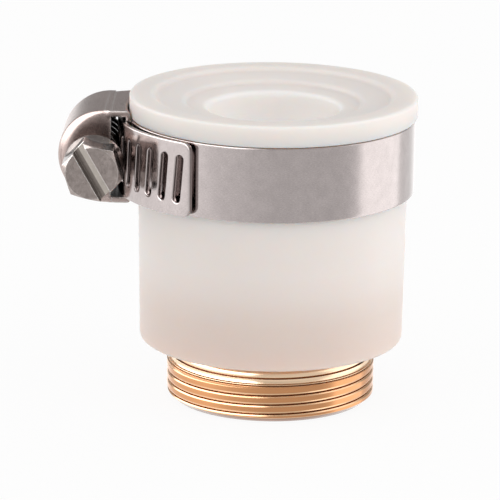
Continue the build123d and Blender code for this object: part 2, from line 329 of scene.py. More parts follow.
height, radius = heightRadius(tree, place)
depth = mapRange(tree, radius, brassLook["radii"][0] * mm, brassLook["radii"][1] * mm)
tone = rampNode(tree, depth, [(at, brassLook[key]) for at, key in brassLook["thread"]])
plain = rampNode(tree, depth, [(at, brassLook[key]) for at, key in brassLook["plain"]])
# above the thread the plain ramp takes over: painted groove shade, then the painted lighter neck
aboveThread = mapRange(tree, height, brassLook["plainFrom"][0] * mm, brassLook["plainFrom"][1] * mm)
tone = mixColor(tree, aboveThread, tone, plain)
# painted shade: the bottom bevel is darkened towards the foot
footShadeMask = mapRange(tree, height, brassLook["footFrom"][0] * mm, brassLook["footFrom"][1] * mm)
tone = mixColor(tree, footShadeMask, tone, (*brassLook["foot"], 1))
ringPlace = addNode(tree, "ShaderNodeCombineXYZ", {0: radius, 2: height})
rings = linkGroup(tree, streakTree, {
    "Vector": ringPlace.outputs[0], "Scale": brassLook["ringScale"], "Contrast": brassLook["ringContrast"],
})
wornAndLit = linkGroup(tree, edgeTree, {
    "Radius": brassLook["edgeRadius"], "Gain": brassLook["edgeGain"], "Vector": place,
})
ringShade = grey(brassLook["ringShade"])
ringTone = spanRamp(tree, rings.outputs[0], brassLook["ringSpan"], ringShade, grey(1.0))
shade = mixColor(tree, 1.0, tone, ringTone, "MULTIPLY")
tree.links.new(mixColor(tree, wornAndLit.outputs[0], shade, (*brassLook["edge"], 1)), shader.inputs["Base Color"])
roughFrom(tree, shader, rings.outputs[1], *brassLook["rough"])
tree.links.new(addNode(tree, "ShaderNodeBump", {
    "Strength": brassLook["bump"], "Distance": brassLook["bumpHeight"],
    "Height": rings.outputs[0], "Normal": wornAndLit.outputs[1],
}).outputs[0], shader.inputs["Normal"])
print("material:", brassMat.name)


def hollowShadeMask(tree, place, hollowShade):
    # painted shade: 1 within the housing's hollow, between its end walls and nearer to the dome's axis than
    # its skin
    axis = addNode(tree, "ShaderNodeSeparateXYZ", {0: place})
    out = mathNode(tree, "MAXIMUM", mathNode(tree, "SUBTRACT", -hollowShade["u"] * mm, axis.outputs[0]), 0.0)
    up = mathNode(tree, "ABSOLUTE", mathNode(tree, "SUBTRACT", axis.outputs[2], hollowShade["mid"] * mm))
    squares = mathNode(tree, "ADD", mathNode(tree, "POWER", out, 2.0), mathNode(tree, "POWER", up, 2.0))
    edges = [
        (axis.outputs[1], -hollowShade["front"]),
        (mathNode(tree, "MULTIPLY", axis.outputs[1], -1.0), -hollowShade["back"]),
        (mathNode(tree, "MULTIPLY", mathNode(tree, "SQRT", squares), -1.0), -hollowShade["rho"]),
    ]
    mask = hollowShade["share"]
    for value, start in edges:
        step = mapRange(tree, value, start * mm, (start + hollowShade["soft"]) * mm)
        mask = mathNode(tree, "MULTIPLY", step, mask)
    return mask


def headShadeAndLight(tree, place, base, head):
    # painted shade and light on the screw's head: patches, each between two distances along the screw and two
    # across the drive slot
    turn = np.radians(head["turn"] - 90)
    arm = vectorNode(tree, "SUBTRACT", place, (-head["u"] * mm, 0, head["mid"] * mm))
    across = vectorNode(tree, "DOT_PRODUCT", arm, (np.cos(turn), 0, np.sin(turn)))
    along = mathNode(tree, "MULTIPLY", addNode(tree, "ShaderNodeSeparateXYZ", {0: place}).outputs[1], -1.0)
    for low, high, left, right, color, share in head["parts"]:
        mask = share
        for value, first, last in ((along, low, high), (across, left, right)):
            mask = mathNode(tree, "MULTIPLY", mathNode(tree, "GREATER_THAN", value, first * mm), mask)
            mask = mathNode(tree, "MULTIPLY", mathNode(tree, "LESS_THAN", value, last * mm), mask)
        base = mixColor(tree, mask, base, (*head[color], 1))
    return base


steel = {"toneSpan": (0.15, 0.85), "cloudDetail": 4.0, "bumpHeight": 0.00003}  # shared by the three steels


def steelMaterial(look):
    # stainless: streaks along the piece's own direction, soft mottling and lighter edges, part wear and part
    # painted highlight
    material, tree, shader = newMaterial(look["name"], {"Metallic": 1.0, "Roughness": 0.3})
    coord = addNode(tree, "ShaderNodeTexCoord")
    place = coord.outputs["Object"]
    along = coord.outputs["UV"] if look["byUv"] else place
    streak = linkGroup(tree, streakTree, {
        "Vector": along, "Scale": look["streakScale"], "Contrast": look["contrast"],
    })
    wornAndLit = linkGroup(tree, edgeTree, {
        "Radius": look["edgeRadius"], "Gain": look["edgeGain"], "Vector": place,
    })
    cloud = noiseNode(tree, place, look["cloudScale"], steel["cloudDetail"])
    tone = spanRamp(tree, streak.outputs[0], steel["toneSpan"], look["dark"], look["light"])
    soft = spanRamp(tree, cloud, noiseMiddle, grey(1 - look["cloud"]), grey(1.0))
    base = mixColor(tree, 1.0, tone, soft, "MULTIPLY")
    base = mixColor(tree, wornAndLit.outputs[0], base, (*look["edge"], 1))
    # painted shadow: the housing's front face above the band is darkened
    if look["shadow"]:
        shadow = look["shadow"]
        axis = addNode(tree, "ShaderNodeSeparateXYZ", {0: place})
        front = mathNode(tree, "LESS_THAN", axis.outputs[1], -shadow["front"] * mm)
        above = mathNode(tree, "GREATER_THAN", axis.outputs[2], shadow["foot"] * mm)
        mask = mathNode(tree, "MULTIPLY", mathNode(tree, "MULTIPLY", front, above), shadow["share"])
        base = mixColor(tree, mask, base, (*look["paintedShade"], 1))
    # painted shade within the housing's hollow, on the sheet and on the worm inside it
    if look["hollowShade"]:
        base = mixColor(tree, hollowShadeMask(tree, place, look["hollowShade"]), base, (*look["paintedShade"], 1))
    if look["head"]:
        base = headShadeAndLight(tree, place, base, look["head"])
    tree.links.new(base, shader.inputs["Base Color"])
    roughFrom(tree, shader, streak.outputs[1], *look["rough"])
    tree.links.new(addNode(tree, "ShaderNodeBump", {
        "Strength": look["bump"], "Distance": steel["bumpHeight"],
        "Height": streak.outputs[0], "Normal": wornAndLit.outputs[1],
    }).outputs[0], shader.inputs["Normal"])
    print("material:", material.name)
    return material


bandMat = steelMaterial({
    "name": "band stainless", "byUv": True, "streakScale": (4, 15, 1), "contrast": 1.2,
    "dark": (0.405, 0.359, 0.348), "light": (0.567, 0.510, 0.502), "cloud": 0.10, "cloudScale": 900.0,
    "hollowShade": None, "shadow": None, "head": None,
    "edge": (0.80, 0.78, 0.76), "edgeRadius": 0.00007, "edgeGain": 2.2, "rough": (0.10, 0.18), "bump": 0.06,
})
housingMat = steelMaterial({
    "name": "pressed stainless", "byUv": True, "streakScale": (1.6, 9, 1), "contrast": 1.2,
    "dark": (0.365, 0.285, 0.263), "light": (0.545, 0.440, 0.410), "cloud": 0.18, "cloudScale": 420.0,
    "hollowShade": {"u": 17.5, "mid": 26.45, "front": 3.6, "back": 5.8, "rho": 4.65, "share": 0.9, "soft": 0.2},
    "shadow": {"front": 3.785, "foot": 22.4, "share": 0.22}, "head": None, "paintedShade": (0.02, 0.018, 0.018),
    # the housing's wide, strong edge mask paints a highlight over the folds of the pressed sheet
    "edge": (0.88, 0.86, 0.83), "edgeRadius": 0.0004, "edgeGain": 3.0, "rough": (0.2, 0.34), "bump": 0.1,
})
screwMat = steelMaterial({
    "name": "screw steel", "byUv": False, "streakScale": (2200, 900, 1600), "contrast": 1.5,
    "dark": (0.285, 0.240, 0.222), "light": (0.455, 0.395, 0.372), "cloud": 0.22, "cloudScale": 700.0,
    "hollowShade": {"u": 17.5, "mid": 26.45, "front": 3.7, "back": 9.0, "rho": 6.0, "share": 0.8, "soft": 0.2},
    "shadow": None, "paintedShade": (0.03, 0.027, 0.025),
    "head": {
        "u": 18.35, "mid": 26.45, "turn": 119.5,
        # painted shade on the hex's sides, a painted lighter slot floor, and painted shade on the slot's
        # walls and one side of its floor
        "side": (0.09, 0.085, 0.085), "floor": (0.80, 0.75, 0.66), "slotShade": (0.10, 0.075, 0.066),
        "parts": [  # along the screw from, to, across the slot from, to, colour, share
            (6.9, 9.4, -9.0, 9.0, "side", 0.3), (9.4, 10.5, -9.0, -0.72, "side", 0.3),
            (9.4, 10.5, 0.72, 9.0, "side", 0.3), (9.4, 9.58, -0.72, 0.72, "floor", 0.4),
            (9.4, 9.58, -0.72, -0.12, "slotShade", 0.65), (9.58, 10.92, -0.72, 0.72, "slotShade", 0.75),
        ],
    },
    # the screw's strong edge gain paints highlight lines along the head's edges
    "edge": (0.92, 0.89, 0.86), "edgeRadius": 0.00012, "edgeGain": 6.0, "rough": (0.15, 0.28), "bump": 0.12,
})

# sleeve: a closed (radius, height) profile with rounded lips, turned about Z
sleeve = {
    "columns": 192, "roundSteps": 7, "sharpDeg": 50,
    "profile": [
        (10.37, 6.4), (13.9, 6.4), (14.25, 30.45), (15.1, 30.45), (15.1, 32.7), (12.65, 32.7), (12.15, 32.27),
        (9.5, 31.97), (9.05, 31.57), (6.9, 31.25), (6.9, 22.55), (11.0, 21.05), (11.0, 12.5), (12.32, 12.5),
        (12.32, 7.9), (10.37, 7.9),
    ],
    "rounds": [0.2, 0.55, 0.12, 0.25, 0.35, 0.3, 0.3, 0.27, 0.27, 0.5, 0.5, 0.4, 0.2, 0.05, 0.05, 0.1],
}
sleeveLine = roundCorners(sleeve["profile"], sleeve["rounds"], sleeve["roundSteps"])
makePiece(
    "silicone_sleeve", [sheet(turned(sleeveLine, sleeve["columns"]), wrapU=True, wrapV=True)],
    "sleeve", "adapter", siliconeMat, sleeve["sharpDeg"],
)

# nipple: turned profile whose thread rows dip by a bevelled groove that climbs one pitch per turn
nipple = {
    "columns": 256, "pitch": 1.0, "crestPhase": 0.75, "crestR": 11.0, "sharpDeg": 60,
    "groove": [  # share of pitch, depth
        (0, 0), (0.24, 0), (0.38, 0.10), (0.43, 0.36), (0.49, 0.36), (0.54, 0.10), (0.74, 0), (1, 0),
    ],
    "foot": [(8.5, 0.3), (8.62, 0.1), (8.8, 0.0), (10.3, 0.0), (10.42, 0.03), (10.98, 0.58)],
    "threadFrom": 0.6, "threadTo": 3.9, "threadRows": 156,
    "fadeIn": (-0.25, 0.35),  # heights between which the groove grows to its full depth
    "threadEnd": 3.8, "fadeOut": 0.2,  # height where it ends, and the length over which it fades there
    "threadOver": 10.4, "grooveFloor": 10.38,  # radii
    "above": [
        (10.98, 3.94), (10.70, 3.97), (10.70, 4.03), (10.88, 4.06), (10.86, 4.12), (10.64, 4.14),
        (10.60, 4.18), (10.60, 4.63), (10.22, 4.67), (10.22, 4.76), (10.52, 4.80),
        (10.52, 5.3), (10.35, 5.45), (10.35, 7.8), (10.45, 7.9), (12.2, 7.9), (12.3, 8.0), (12.3, 12.0),
        (11.8, 12.5), (8.8, 12.5), (8.62, 12.4), (8.5, 12.2),
    ],
}
threadZ = np.linspace(nipple["threadFrom"], nipple["threadTo"], nipple["threadRows"])
threadLine = np.stack([0 * threadZ + nipple["crestR"], threadZ], 1)
nippleLine = np.concatenate([nipple["foot"], threadLine, nipple["above"]])
nipplePoints = turned(nippleLine, nipple["columns"])
lineR, lineZ = nippleLine.T
turn = np.linspace(0, 1, nipple["columns"], endpoint=False)[:, None]
phase = (lineZ[None] / nipple["pitch"] - turn - nipple["crestPhase"]) % 1.0
groove = np.interp(phase, *np.array(nipple["groove"]).T)
fadeIn = np.interp(lineZ, nipple["fadeIn"], (0, 1))
fadeOut = np.clip((nipple["threadEnd"] - lineZ) / nipple["fadeOut"], 0, 1)
window = np.where((lineR > nipple["threadOver"]) & (lineZ < nipple["threadEnd"]), fadeIn * fadeOut, 0.0)
newR = np.maximum(lineR[None] - groove * window[None], np.minimum(lineR[None], nipple["grooveFloor"]))
nipplePoints[..., :2] *= (newR / lineR[None])[..., None]
makePiece(
    "brass_nipple", [sheet(nipplePoints, wrapU=True, wrapV=True)],
    "thread_nipple", "adapter", brassMat, nipple["sharpDeg"],
)

# band: a strip with leaning slots, laid along a polar course
band = {
    "width": 7.8, "thick": 0.55, "foot": 22.55, "roll": 0.09, "tailRound": 0.9,
    "course": [  # start and end angle, inner radius at start and end
        (155.331, 193.429, 14.66, 14.66), (193.429, 232, 14.66, 14.3), (232, 478, 14.3, 14.3),
        (478, 515.331, 14.3, 15.74), (515.331, 552.429, 15.74, 15.74), (552.429, 598.509, 15.74, 15.2),
    ],
    "slotLength": 5.1, "slotWidth": 0.95, "lean": 5.5, "slotShift": 0.67, "slotPitch": 2.0, "slots": (-7, 7),
    "rows": 24, "cellCols": 10, "startCols": 180, "tableRows": 9000, "rollRows": 4, "sharpDeg": 40,
    "slotRings": [(0.55, 0.09), (0.52, 0.035), (0.45, 0.0), (0.06, 0.0), (0.0, 0.05)],  # out, growth
    "cellMix": [0, 0.12, 0.4, 0.7, 1],
    "screwDeg": 540, "screwU": 18.35, "screwMid": 26.45,
    "wormReach": 2.53, "tailInner": 15.74, "troughDeg": 20, "troughLeast": 0.1,  # room for the turning worm
}
stations = np.array(band["course"])


def bandPoints(deg, out, z):
    # inner radius eased between stations (three x squared less two x cubed), moved out along the normal
    deg, out, z = np.broadcast_arrays(deg, out, z)
    row = np.clip(np.searchsorted(stations[:, 1], deg - 1e-9), 0, len(stations) - 1)
    a0, a1, r0, r1 = np.moveaxis(stations[row], -1, 0)
    x = np.clip((deg - a0) / (a1 - a0), 0, 1)
    r = r0 + (r1 - r0) * x * x * (3 - 2 * x)
    slope = (r1 - r0) * 6 * x * (1 - x) / np.radians(a1 - a0)
    length = np.hypot(r, slope)
    nr, nt = r / length, -slope / length
    t = np.radians(deg)
    return np.stack([
        r * np.cos(t) + out * (nr * np.cos(t) - nt * np.sin(t)),
        r * np.sin(t) + out * (nr * np.sin(t) + nt * np.cos(t)),
        band["foot"] + z,
    ], -1)


degTable = np.linspace(stations[0, 0], stations[-1, 1], band["tableRows"])
midLine = bandPoints(degTable, band["thick"] / 2, 0)
runTable = np.concatenate([[0], np.cumsum(np.linalg.norm(np.diff(midLine, axis=0), axis=1))])
bandLength = runTable[-1]
runAtScrew = np.interp(band["screwDeg"], degTable, runTable)


def wormRoom(deg, z):
    # share of the thickness that clears the turning worm: from the inner face out to a circle round its axis
    reach = np.sqrt(np.maximum(band["wormReach"] ** 2 - (band["foot"] + z - band["screwMid"]) ** 2, 0))
    turn = deg - band["screwDeg"]
    room = (band["screwU"] - reach) / np.cos(np.radians(turn)) - band["tailInner"]
    room = np.clip(room / band["thick"], band["troughLeast"], 1)
    return np.where(np.abs(turn) < band["troughDeg"], room, 1.0)


def bandAt(run, z, out):
    deg = np.interp(run, runTable, degTable)
    return bandPoints(deg, out * wormRoom(deg, z), z)


def bandUv(run, z):
    run, z = np.broadcast_arrays(run, z)
    return np.stack([run, z], -1)


slotIndex = np.arange(band["slots"][0], band["slots"][1] + 1)
slotRuns = runAtScrew + band["slotShift"] + band["slotPitch"] * slotIndex
width, thick, roll, tailR = band["width"], band["thick"], band["roll"], band["tailRound"]
half = band["slotPitch"] / 2
rowZ = np.linspace(roll, width - roll, band["rows"] + 1)
fraction = np.linspace(0, 1, band["rows"] + 1)
cellCols = np.concatenate([np.linspace(s - half, s + half, band["cellCols"] + 1)[:-1] for s in slotRuns[:-1]])
startCols = np.linspace(roll, slotRuns[0] - half, band["startCols"])[:-1]
endCols = np.linspace(slotRuns[-1] - half, bandLength - tailR, 3)  # these and the corner's make up one cell
cornerTurn = np.linspace(0, np.pi / 2, band["cellCols"] - 1)[1:]


def bandEdge(inset):
    # the strip's outline in (run, height), drawn in by inset; the tail's two corners are arcs
    cornerRun = bandLength - tailR + (tailR - inset) * np.sin(cornerTurn)
    cornerZ = tailR - (tailR - inset) * np.cos(cornerTurn)
    first = np.concatenate([[inset], startCols[1:], cellCols, endCols])
    run = np.concatenate([first, cornerRun])
    low = np.concatenate([0 * first + inset, cornerZ])
    rightZ = tailR + (width - 2 * tailR) * fraction[1:-1]
    leftZ = rowZ[1:-1][::-1]
    return np.concatenate([
        np.stack([run, low], 1), np.stack([0 * rightZ + bandLength - inset, rightZ], 1),
        np.stack([run, width - low], 1)[::-1], np.stack([0 * leftZ + inset, leftZ], 1),
    ])


def slotOutline(run, grow):
    # a round-ended slot turned by the lean, sampled to match its cell's border
    n, m = band["cellCols"], band["rows"]
    r, straight = band["slotWidth"] / 2 + grow, (band["slotLength"] - band["slotWidth"]) / 2
    lower = np.linspace(np.pi, 2 * np.pi, n + 1)
    rise = np.linspace(-straight, straight, m + 1)
    x = np.concatenate([r * np.cos(lower), 0 * rise[1:-1] + r, r * np.cos(lower - np.pi), 0 * rise[1:-1] - r])
    low, high = r * np.sin(lower) - straight, r * np.sin(lower - np.pi) + straight
    y = np.concatenate([low, rise[1:-1], high, rise[1:-1][::-1]])
    lean = np.radians(band["lean"])
    return np.stack([
        run + x * np.cos(lean) + y * np.sin(lean),
        width / 2 - x * np.sin(lean) + y * np.cos(lean),
    ], 1)


def cellBorder(run):
    # a slot's share of the strip; the last one reaches to the tail's end and its round corners
    up = rowZ[1:-1]
    s, low, right, rightZ = np.linspace(run - half, run + half, band["cellCols"] + 1), roll, run + half, up
    if run == slotRuns[-1]:
        s = np.concatenate([endCols, bandLength - tailR + (tailR - roll) * np.sin(cornerTurn)])
        low = np.concatenate([0 * endCols + roll, tailR - (tailR - roll) * np.cos(cornerTurn)])
        right, rightZ = bandLength - roll, tailR + (width - 2 * tailR) * fraction[1:-1]
    return np.concatenate([
        np.stack([s, 0 * s + low], 1), np.stack([0 * rightZ + right, rightZ], 1),
        np.stack([s, 0 * s + width - low], 1)[::-1], np.stack([0 * up + run - half, up[::-1]], 1),
    ])


def flatSheet(flat, out, wrapV=False):
    return sheet(bandAt(flat[..., 0], flat[..., 1], out), bandUv(flat[..., 0], flat[..., 1]), wrapV=wrapV)


bandSheets = []
startGrid = np.stack(np.broadcast_arrays(np.append(startCols, slotRuns[0] - half)[:, None], rowZ[None]), -1)
for out, grow in (band["slotRings"][0], band["slotRings"][-1]):
    bandSheets.append(flatSheet(startGrid, out))
    for run in slotRuns:
        inner, outer = slotOutline(run, grow), cellBorder(run)
        mix = np.array(band["cellMix"])[:, None, None]
        bandSheets.append(flatSheet(inner * (1 - mix) + outer * mix, out, wrapV=True))
for run in slotRuns:
    flat = np.stack([slotOutline(run, grow) for out, grow in band["slotRings"]])
    outs = np.array(band["slotRings"])[:, :1]
    bandSheets.append(flatSheet(flat, outs, wrapV=True))
bend = np.linspace(0, np.pi / 2, band["rollRows"])
insets = np.concatenate([roll * (1 - np.sin(bend)), roll * (1 - np.cos(bend))])
outs = np.concatenate([thick - roll * (1 - np.cos(bend)), roll * (1 - np.sin(bend))])
bandSheets.append(flatSheet(np.stack([bandEdge(i) for i in insets]), outs[:, None], wrapV=True))
makePiece("slotted_band", bandSheets, "clamp_band", "adapter", bandMat, band["sharpDeg"])

# housing: one pressed sheet; u runs outwards along -X, a towards the screw's head along -Y
housing = {
    "mid": 26.45, "sheet": 0.6, "baseT": 0.45, "baseR": 15.25, "legOut": 4.9, "domeU": 17.5,
    "wallEdge": 16.85, "rimFront": 3.8, "rimBack": 6.0, "baseFront": 3.8, "screwU": 18.35,
    "fold": 1.1, "foldLeg": 0.22,  # radius at the dome's top and at the legs
    "frontEdge": [(15.74, 3.8), (17.0, 3.8), (17.45, 3.6)],  # outline of a leg in (u, a)
    "backEdge": [(15.74, -6.0), (16.85, -5.45), (17.45, -4.9)],
    "frontHole": 1.7, "backHole": 1.45, "holeGap": 0.94, "archCols": 72, "straightCols": 4,
    "wallRows": 6, "foldRows": 9, "domeRows": 14, "legRows": 12, "bendRows": 6, "baseRows": 18,
    "uvRow": 20, "uvCol": 40, "channelUvCol": 20,  # lines along which the surface's run is measured
    "bend": 0.4, "bendInside": 0.12, "foldLeast": 0.05, "channelCols": 40, "channelRun": 10.8,
    "tuck": 0.012, "tuckOver": 0.6,  # keeps a leg's end just under the dome's own skin
    "button": [
        (0.0, 0.0), (0.75, 0.0), (0.75, -0.98), (1.12, -0.98), (1.15, -1.02),
        (1.15, -1.16), (1.08, -1.2), (0.0, -1.2),
    ],
    "buttonCols": 40, "buttonU": 15.22, "buttonY": 1.1, "buttonZ": (-2.2, 2.2), "sharpDeg": 40,
}


def housingPoints(a, u, z):
    a, u, z = np.broadcast_arrays(a, u, z)
    return np.stack([-u, -a, housing["mid"] + z], -1)


archTurn = np.linspace(0, np.pi, housing["archCols"])
archRun = np.linspace(0, 1, housing["straightCols"], endpoint=False)
straightU = housing["wallEdge"] + (housing["domeU"] - housing["wallEdge"]) * archRun
archU = np.concatenate([straightU, 0 * archTurn + housing["domeU"], straightU[::-1]])
archSin = np.concatenate([0 * straightU, np.sin(archTurn), 0 * straightU])
archCos = np.concatenate([0 * straightU + 1, np.cos(archTurn), 0 * straightU - 1])


def archLine(rho):
    # an arch of the given half height: straight from the wall's edge, half round, straight back
    return np.stack(np.broadcast_arrays(archU + rho * archSin, rho * archCos), -1)


def bearingLine(r):
    # the screw's hole in an end wall: a round with straight sides open towards the band
    gap = housing["holeGap"] * r
    reach = np.sqrt(r * r - gap * gap)
    start = np.arctan2(gap, -reach)
    swing = start - 2 * start * np.linspace(0, 1, housing["archCols"])
    u = housing["wallEdge"] + (housing["screwU"] - reach - housing["wallEdge"]) * archRun
    return np.concatenate([
        np.stack([u, 0 * u + gap], -1),
        np.stack([housing["screwU"] + r * np.cos(swing), r * np.sin(swing)], -1),
        np.stack([u, 0 * u - gap], -1)[::-1],
    ])


def shellSheet(d):
    # rows run from the back hole up the back wall, over its fold, along the dome and down the front wall;
    # the fold's radius grows with the sine of the arch's angle
    fold = housing["foldLeg"] + (housing["fold"] - housing["foldLeg"]) * archSin
    fold = np.maximum(fold - d, housing["foldLeast"])
    top, back, front = housing["legOut"] - d, -housing["rimBack"] + d, housing["rimFront"] - d
    share = np.linspace(0, 1, housing["wallRows"])[:, None, None]
    turnRow = np.linspace(0, np.pi / 2, housing["foldRows"])[1:, None]
    neck = archLine(top - fold)
    wallBack = bearingLine(housing["backHole"]) * (1 - share) + neck * share
    wallFront = neck * (1 - share) + bearingLine(housing["frontHole"]) * share
    foldBack = archLine(top - fold + fold * np.sin(turnRow))
    along = np.linspace(0, 1, housing["domeRows"])[1:-1, None]
    dome = archLine(top + 0 * along)
    flat = np.concatenate([wallBack, foldBack, dome, foldBack[::-1], wallFront])
    wallSize = (housing["wallRows"], len(archU))
    a = np.concatenate([
        np.full(wallSize, back), back + fold - fold * np.cos(turnRow),
        (back + fold) * (1 - along) + (front - fold) * along,
        (front - fold + fold * np.cos(turnRow))[::-1], np.full(wallSize, front),
    ])
    return housingPoints(a, flat[..., 0], flat[..., 1])


def channelSheet(d):
    # legs and base: down one leg, round the bend, along the base round the sleeve, and up the other leg
    bend = housing["bend" if d == 0 else "bendInside"]
    floorD = 0.0 if d == 0 else housing["baseT"]
    side = housing["legOut"] - d
    drop = np.linspace(1, 0, housing["legRows"])
    turnRow = np.linspace(0, np.pi / 2, housing["bendRows"])[1:]
    base = np.linspace(1, -1, housing["baseRows"])[1:-1]
    rise = np.concatenate([drop, 0 * turnRow, 0 * base, 0 * turnRow, drop[::-1]])
    d1 = floorD + bend * (1 - np.sin(turnRow))
    legD = 0 * drop + floorD + bend
    depth = np.concatenate([legD, d1, 0 * base + floorD, d1[::-1], legD])
    z1 = side - bend * (1 - np.cos(turnRow))
    tuck = np.where(drop > housing["tuckOver"], housing["tuck"], 0.0)
    z = np.concatenate([side - tuck, z1, base * (side - bend), -z1[::-1], tuck[::-1] - side])
    onLeg = np.concatenate([0 * drop + 1, 0 * turnRow, 0 * base, 0 * turnRow, 0 * drop + 1])
    topU = housing["frontEdge"][-1][0]
    share = np.linspace(0, 1, housing["channelCols"])[None]
    uLow = np.sqrt((housing["baseR"] + depth) ** 2 - housing["baseFront"] ** 2)
    uHere = np.where(onLeg > 0, uLow + (topU - uLow) * rise, uLow - floorD)
    front = np.interp(uHere, *np.array(housing["frontEdge"]).T)[:, None]
    back = np.interp(uHere, *np.array(housing["backEdge"]).T)[:, None]
    a = back + (front - back) * share
    curve = np.sqrt((housing["baseR"] + depth[:, None]) ** 2 - np.minimum(a, housing["baseFront"]) ** 2)
    u = curve + (topU - curve) * rise[:, None]
    return housingPoints(a, u, z[:, None])


def runAlong(line):
    # distance along a line of points
    return np.cumsum(np.concatenate([[0], np.linalg.norm(np.diff(line, axis=0), axis=1)]))


outerShell, innerShell = shellSheet(0.0), shellSheet(housing["sheet"])
channelOuter, channelInner = channelSheet(0.0), channelSheet(housing["sheet"])
shellRows, shellCols = runAlong(outerShell[:, housing["uvCol"]]), runAlong(outerShell[housing["uvRow"]])
shellUv = np.stack(np.broadcast_arrays(shellCols[None], shellRows[:, None]), -1)
channelRows = runAlong(channelOuter[:, housing["channelUvCol"]])
channelCols = np.linspace(0, housing["channelRun"], housing["channelCols"])
channelUv = np.stack(np.broadcast_arrays(channelRows[:, None], channelCols[None]), -1)
housingSheets = wall(outerShell, innerShell, shellUv) + wall(channelOuter, channelInner, channelUv)
button = turned(np.array(housing["button"]), housing["buttonCols"])
for z in housing["buttonZ"]:
    seatU, seatY = -housing["buttonU"] - button[..., 2], housing["buttonY"] + button[..., 0]
    seat = np.stack([seatU, seatY, housing["mid"] + z + button[..., 1]], -1)
    housingSheets.append(sheet(seat, wrapU=True))
makePiece(
    "screw_house", housingSheets, "screw_housing", "adapter", housingMat,
    housing["sharpDeg"],
)

# screw: local X towards the sleeve, local Y up, local Z towards the head
screw = {
    "u": 18.35, "mid": 26.45, "root": 2.0, "lift": 0.5, "crestHalf": 0.2, "rootHalf": 0.375, "pitch": 2.0,
    "crestAt": 0.67, "wormFrom": -5.3, "wormTo": 3.1, "wormRows": 210, "columns": 96,
    "tip": [(0.0, -6.6), (1.2, -6.6), (1.4, -6.4), (1.4, -5.32)],
    "neck": [
        (1.65, 3.12), (1.65, 3.9), (2.05, 3.9), (2.1, 3.95), (2.1, 6.95), (2.15, 7.0), (2.95, 7.0),
        (3.11, 7.06), (3.17, 7.2), (3.17, 7.32), (3.13, 7.42), (2.75, 8.25), (0.0, 8.25),
    ],
    "across": 5.5, "face": 11.0, "hexFoot": 7.55, "flatR": 2.70, "chamferSlope": 0.835,
    "slotWidth": 1.4, "slotDepth": 1.5, "slotTurn": 119.5, "cornerTurn": 17.3,
    "landCols": 41, "landRows": 5, "floorRows": 9, "endPower": 12, "passes": 6, "sharpDeg": 25,
}


def screwPoints(local):
    return np.stack([-screw["u"] + local[..., 0], -local[..., 2], screw["mid"] + local[..., 1]], -1)


wormA = np.linspace(screw["wormFrom"], screw["wormTo"], screw["wormRows"])
shaftLine = np.concatenate([screw["tip"], np.stack([0 * wormA + screw["root"], wormA], 1), screw["neck"]])
shaft = turned(shaftLine, screw["columns"])
turn = np.linspace(0, 1, screw["columns"], endpoint=False)[:, None]
halfPitch = screw["pitch"] / 2
offset = shaftLine[None, :, 1] - screw["crestAt"] - screw["pitch"] * turn
offset = (offset + halfPitch) % screw["pitch"] - halfPitch
flank = (screw["rootHalf"] - np.abs(offset)) / (screw["rootHalf"] - screw["crestHalf"])
lift = np.clip(flank, 0, 1) * screw["lift"]
wormRow = np.arange(len(shaftLine)) - len(screw["tip"])
onWorm = (wormRow >= 0) & (wormRow < len(wormA))
rNow = shaftLine[None, :, 0] + lift * onWorm[None]
shaft[..., 0], shaft[..., 1] = rNow * np.cos(2 * np.pi * turn), rNow * np.sin(2 * np.pi * turn)

# head: everything is worked out beside the slot (x' across it, y' along it), then turned into place
halfSlot = screw["slotWidth"] / 2


def hexRadius(deg):
    # distance to the hexagon's side: half its width over the cosine of the angle from that side's middle
    return screw["across"] / 2 / np.cos(np.radians((deg - screw["cornerTurn"]) % 60 - 30))


def headTurn(flat, height):
    # (x', y') to local X, Y: x' points 90 degrees before the slot's direction
    t = np.radians(screw["slotTurn"] - 90)
    x, y = flat[..., 0], flat[..., 1]
    return np.stack([x * np.cos(t) - y * np.sin(t), x * np.sin(t) + y * np.cos(t), height + 0 * x], -1)


endDeg = np.degrees(np.arccos(halfSlot / screw["flatR"]))
cornerDeg = screw["cornerTurn"] + np.array([-60.0, 0.0])
landDeg = np.unique(np.concatenate([np.linspace(-endDeg, endDeg, screw["landCols"]), cornerDeg]))
share = np.linspace(0, 1, screw["landRows"])[:, None]


def landRing(m):
    # ring rows go from the flat's circle out to the hexagon, while the two ends stay on the slot's edge
    deg = landDeg + 0 * m
    nearEnd = (np.abs(landDeg) / endDeg) ** screw["endPower"]
    for _ in range(screw["passes"]):
        r = screw["flatR"] + m * (hexRadius(deg) - screw["flatR"])
        ends = np.degrees(np.arccos(np.clip(halfSlot / r, -1, 1)))
        deg = landDeg + (ends - endDeg) * np.sign(landDeg) * nearEnd
    return np.stack([r * np.cos(np.radians(deg)), r * np.sin(np.radians(deg))], -1), r


ringFlat, ringR = landRing(share)
ringA = screw["face"] - (ringR - screw["flatR"]) * screw["chamferSlope"]
landX = screw["flatR"] * np.cos(np.radians(landDeg))
landY = screw["flatR"] * np.sin(np.radians(landDeg))
landFlat = np.stack([landX[None] * (1 - share) + halfSlot * share, landY[None] + 0 * share], -1)
edgeFlat, edgeA = ringFlat[-1], ringA[-1]
slotFloor = screw["face"] - screw["slotDepth"]
sideA = np.stack([edgeA, 0 * edgeA + slotFloor, 0 * edgeA + screw["hexFoot"]])
wallFlat = np.concatenate([ringFlat[::-1, 0], landFlat[-1, 1:-1], ringFlat[:, -1]])
wallA = np.concatenate([ringA[::-1, 0], 0 * landFlat[-1, 1:-1, 0] + screw["face"], ringA[:, -1]])
wallRows = np.stack([wallA, 0 * wallA + slotFloor])
across = np.linspace(0, 1, screw["floorRows"])[:, None, None]
floorFlat = wallFlat[None] * (1 - across) - wallFlat[None, ::-1] * across
lowEnd, highEnd = floorFlat[:, 0], floorFlat[:, -1]
